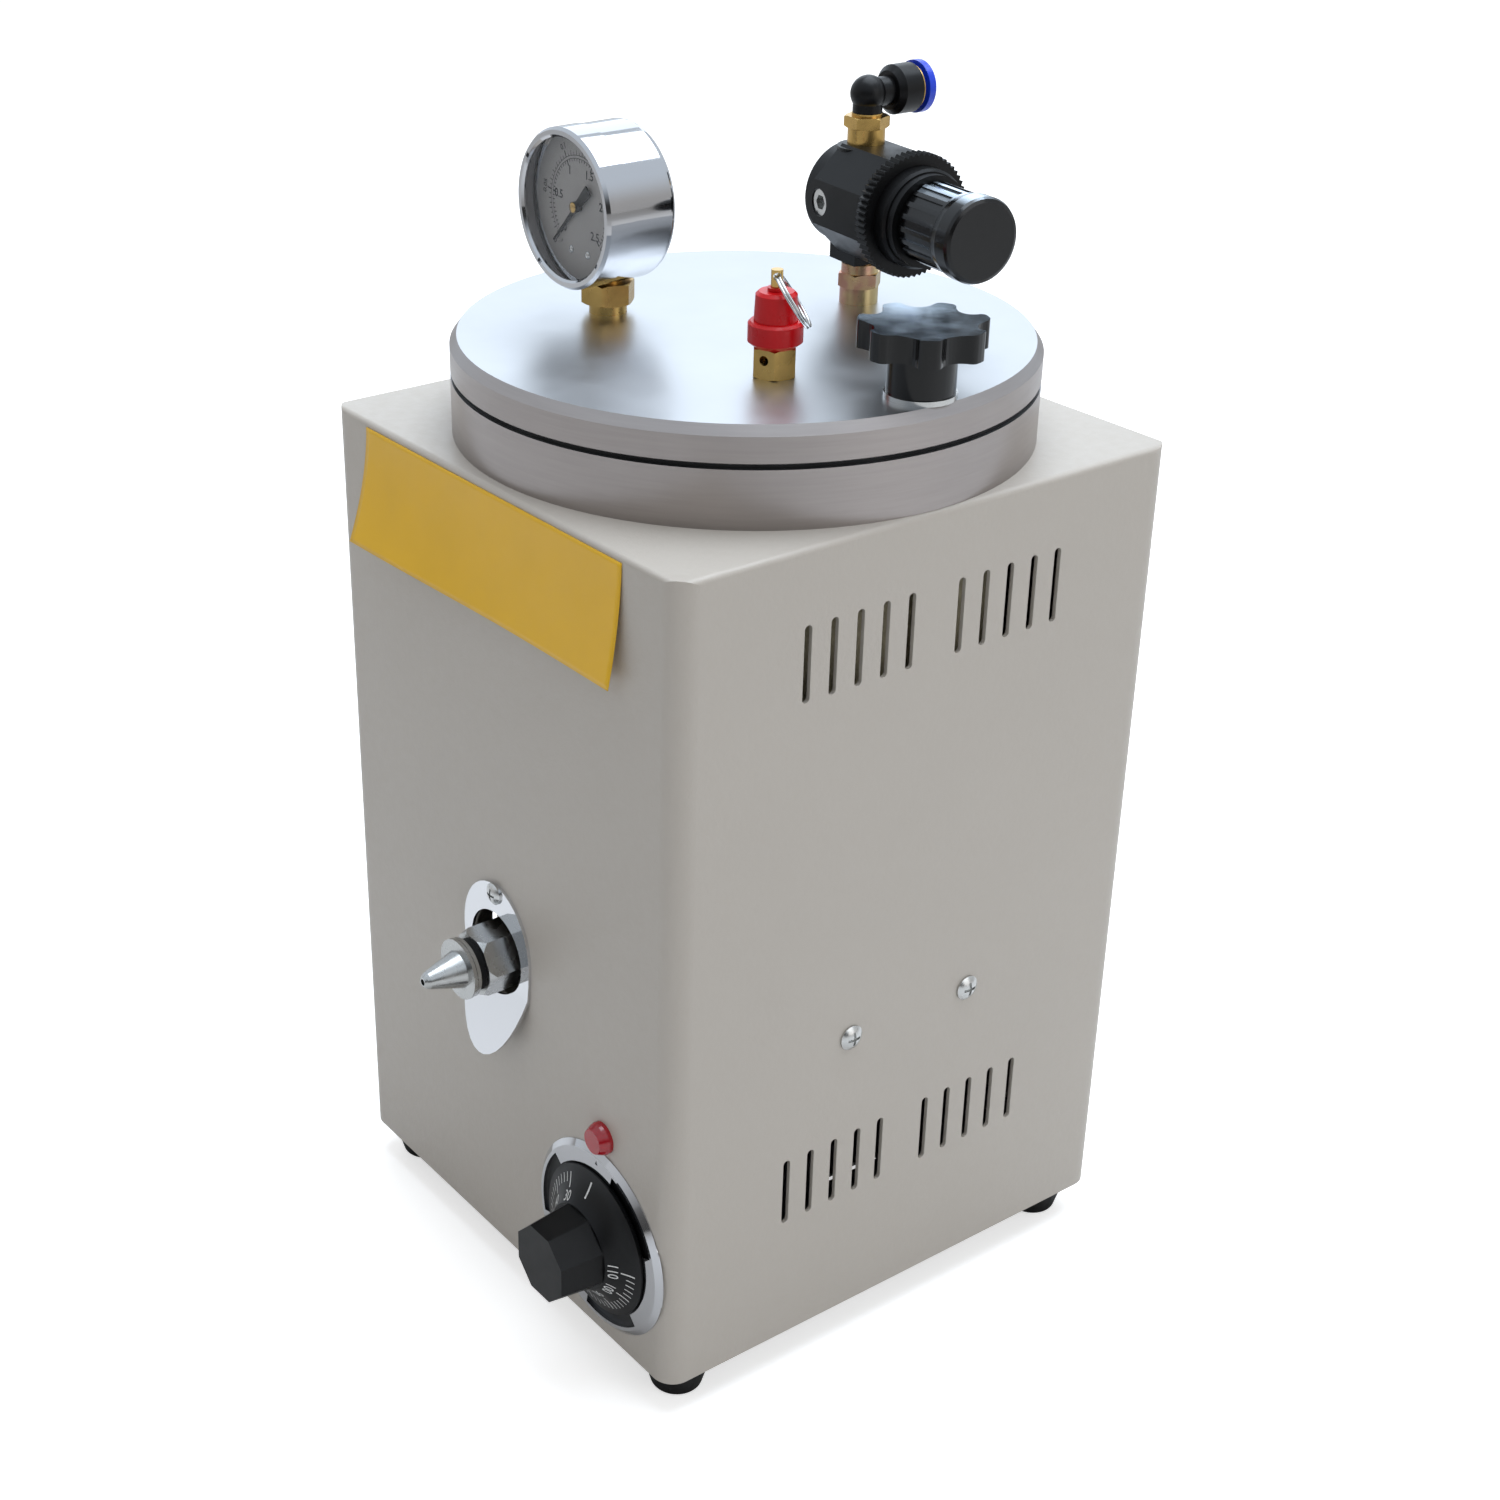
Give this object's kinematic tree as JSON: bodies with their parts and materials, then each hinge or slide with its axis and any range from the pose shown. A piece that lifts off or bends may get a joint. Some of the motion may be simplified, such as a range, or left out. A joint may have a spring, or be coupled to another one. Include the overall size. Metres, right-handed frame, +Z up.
{
  "type": "jewelry wax injector",
  "caption": "Bench-top wax injector for jewelry casting: a heated pressure pot in a square cabinet with lid fittings, nozzle and thermostat dial.",
  "frame": {"origin": "middle of the footprint of the whole object, on the bench", "axes": "+Z up; the nozzle and thermostat face -Y; the side with the star knob is +X"},
  "size_m": [0.209, 0.2434, 0.4292],
  "materials": {
    "cabinet_paint": "wrinkle powder coat, warm grey",
    "sheet_steel": "zinc-plated sheet, dull",
    "foot_rubber": "matt black rubber",
    "screw_steel": "nickel-plated, smooth",
    "pot_aluminium": "satin turned aluminium",
    "wool": "mineral wool wrap",
    "heater_iron": "heat-darkened cast plate",
    "gasket_rubber": "black silicone",
    "nozzle_steel": "turned nickel-plated metal",
    "piston_rubber": "black sealing plastic",
    "polished_steel": "mirror-polished stainless sheet",
    "brass": "turned brass",
    "zinc_yellow": "yellow-passivated zinc on steel",
    "black_plastic": "moulded black plastic, satin",
    "black_gloss": "moulded black plastic, glossy",
    "chrome": "chrome-plated pressed steel",
    "lamp_red": "clear red moulding",
    "valve_red": "red anodised or moulded cap",
    "gauge_glass": "clear flat window",
    "dial_white": "matt white dial",
    "copper": "bare copper tube",
    "blue_plastic": "blue moulding"
  },
  "bodies": {
    "base": {"housing_shell": "cabinet_paint", "base_plate": "sheet_steel", "rubber_feet": "foot_rubber", "foot_screws": "screw_steel", "side_screws": "screw_steel", "support_shelf": "sheet_steel", "wax_pot": "pot_aluminium", "pot_insulation": "wool", "heater_plate": "heater_iron", "lid_gasket": "gasket_rubber", "nozzle_barrel": "nozzle_steel", "nozzle_spring": "screw_steel", "drip_plate": "polished_steel", "drip_plate_screw": "screw_steel", "thermostat_body": "black_plastic", "thermostat_screws": "screw_steel", "sensing_bulb": "copper", "dial_backplate": "black_plastic", "dial_bezel": "chrome", "lamp_body": "black_plastic", "lamp_lens": "lamp_red", "power_inlet": "black_plastic", "inlet_pins": "zinc_yellow", "inlet_screws": "screw_steel"},
    "nozzle": {"nozzle_piston": "piston_rubber", "nozzle_disc": "nozzle_steel", "nozzle_tip": "nozzle_steel", "valve_poppet": "brass"},
    "temperature_knob": {"thermostat_shaft": "screw_steel", "thermostat_knob": "black_plastic"},
    "lid_set": {"lid": "pot_aluminium", "clamp_washer": "screw_steel", "gauge_stem": "brass", "gauge_case": "chrome", "gauge_bezel": "chrome", "gauge_glass": "gauge_glass", "gauge_dial": "dial_white", "bourdon_tube": "brass", "gauge_movement": "brass", "relief_body": "brass", "relief_bonnet": "valve_red", "relief_spring": "screw_steel", "regulator_nipple": "zinc_yellow", "regulator_body": "black_plastic", "regulator_bonnet": "black_plastic", "panel_nut": "black_plastic", "port_plugs": "screw_steel", "inlet_fitting": "brass"},
    "clamp_knob": {"clamp_stud": "screw_steel", "star_knob": "black_gloss"},
    "pressure_hand": {"gauge_pointer": "black_plastic"},
    "relief_pin": {"relief_stem": "brass"},
    "relief_ring": {"pull_ring": "screw_steel"},
    "pressure_screw": {"regulator_adjuster": "screw_steel"},
    "pressure_knob": {"regulator_knob": "black_gloss"},
    "air_elbow": {"push_elbow": "black_plastic", "collet_ring": "brass"},
    "hose_release": {"release_collar": "blue_plastic"}
  },
  "joints": [
    {"name": "lid_lift", "type": "slide", "parent": "base", "child": "lid_set", "axis": [0, 0, 1], "range_m": [0, 0.08]},
    {"name": "clamp_turn", "type": "hinge", "parent": "lid_set", "child": "clamp_knob", "pos_m": [0.083, 0.01465, 0.3497], "axis": [0, 0, 1], "range_deg": [0, 720]},
    {"name": "nozzle_push", "type": "slide", "parent": "base", "child": "nozzle", "axis": [0, 1, 0], "range_m": [0, 0.003], "stiffness_N_per_m": 600, "deforming": ["nozzle_spring"]},
    {"name": "temperature_turn", "type": "hinge", "parent": "base", "child": "temperature_knob", "pos_m": [0.057, -0.0885, 0.0557], "axis": [0, 1, 0], "range_deg": [0, 270]},
    {"name": "pressure_reading", "type": "hinge", "parent": "lid_set", "child": "pressure_hand", "pos_m": [-0.04636, -0.0111, 0.3874], "axis": [0, 1, 0], "range_deg": [0, 270]},
    {"name": "relief_lift", "type": "slide", "parent": "lid_set", "child": "relief_pin", "axis": [0, 0, 1], "range_m": [0, 0.003], "stiffness_N_per_m": 800, "deforming": ["relief_spring"]},
    {"name": "ring_swing", "type": "hinge", "parent": "relief_pin", "child": "relief_ring", "pos_m": [0.04065, -0.00882, 0.3817], "axis": [0.8151, -0.5793, 0], "range_deg": [0, 120]},
    {"name": "pressure_turn", "type": "hinge", "parent": "lid_set", "child": "pressure_screw", "pos_m": [-0.00539, 0.06621, 0.3861], "axis": [0.9925, -0.1219, 0], "range_deg": [0, 1440]},
    {"name": "pressure_unlock", "type": "slide", "parent": "pressure_screw", "child": "pressure_knob", "axis": [0.9925, -0.1219, 0], "range_m": [0, 0.0025]},
    {"name": "elbow_swivel", "type": "hinge", "parent": "lid_set", "child": "air_elbow", "pos_m": [-0.00539, 0.06621, 0.4205], "axis": [0, 0, 1], "continuous": true},
    {"name": "hose_release", "type": "slide", "parent": "air_elbow", "child": "hose_release", "axis": [-0.0349, -0.9994, 0], "range_m": [0, 0.0012], "stiffness_N_per_m": 500}
  ]
}
